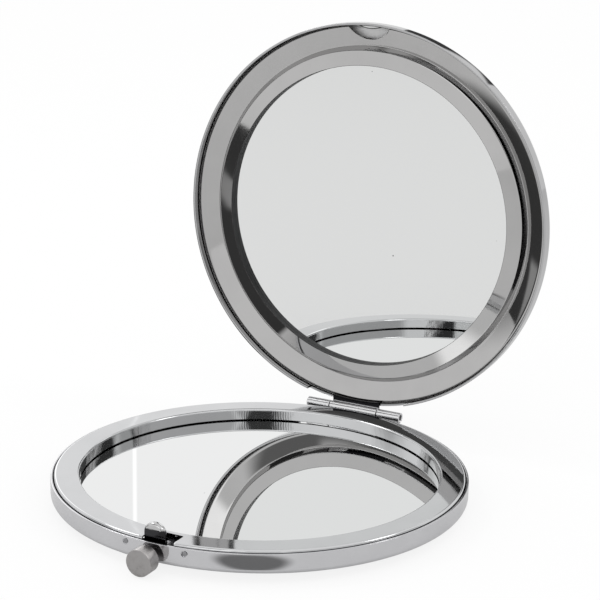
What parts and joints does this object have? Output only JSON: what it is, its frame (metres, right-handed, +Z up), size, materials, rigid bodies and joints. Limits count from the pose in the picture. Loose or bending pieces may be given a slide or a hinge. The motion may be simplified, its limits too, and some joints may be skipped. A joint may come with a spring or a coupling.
{
  "type": "compact mirror",
  "caption": "Round metal compact mirror standing open: shallow base and lid with bezelled mirrors, rear knuckle hinge, and a front push button that frees a sprung latch hook.",
  "frame": {"origin": "centre of the flat middle of the base's bottom, on the surface that the base rests on", "axes": "+Z up out of the base's mirror, -Y to the push button at the front, +Y to the hinge at the back, +X to the right of someone who faces the button"},
  "size_m": [0.07, 0.0798, 0.0758],
  "materials": {
    "case_metal": "polished plated sheet metal",
    "base_bezel_metal": "polished pressed ring",
    "lid_bezel_metal": "polished pressed ring",
    "mirror_glass": "silvered glass",
    "foam": "matte adhesive foam disc",
    "hinge_metal": "polished tube and leaf",
    "pin_steel": "plain drawn wire",
    "button_metal": "satin, warm grey",
    "hook_metal": "polished stamped steel",
    "guide_steel": "plain stamped steel",
    "spring_steel": "spring wire",
    "rivet_metal": "flush, polished with the wall"
  },
  "bodies": {
    "base": {"base_shell": "case_metal", "base_bezel": "base_bezel_metal", "base_mirror": "mirror_glass", "base_pad": "foam", "base_hinge_leaf": "hinge_metal", "hinge_pin": "pin_steel", "latch_guide": "guide_steel", "latch_rivets": "rivet_metal", "latch_springs": "spring_steel"},
    "lid": {"lid_shell": "case_metal", "lid_bezel": "lid_bezel_metal", "lid_mirror": "mirror_glass", "lid_pad": "foam", "lid_hinge_leaf": "hinge_metal", "lid_catch": "hook_metal"},
    "button": {"push_button": "button_metal", "stem_washer": "pin_steel", "latch_hook": "hook_metal"}
  },
  "joints": [
    {"name": "lid_hinge", "type": "hinge", "parent": "base", "child": "lid", "pos_m": [0, 0.0359, 0.00487], "axis": [1, 0, 0], "range_deg": [-89, 91]},
    {"name": "button_press", "type": "slide", "parent": "base", "child": "button", "axis": [0, 1, 0], "range_m": [0, 0.00065], "stiffness_N_per_m": 800, "springref_m": -0.0005, "deforming": ["latch_springs"]}
  ]
}
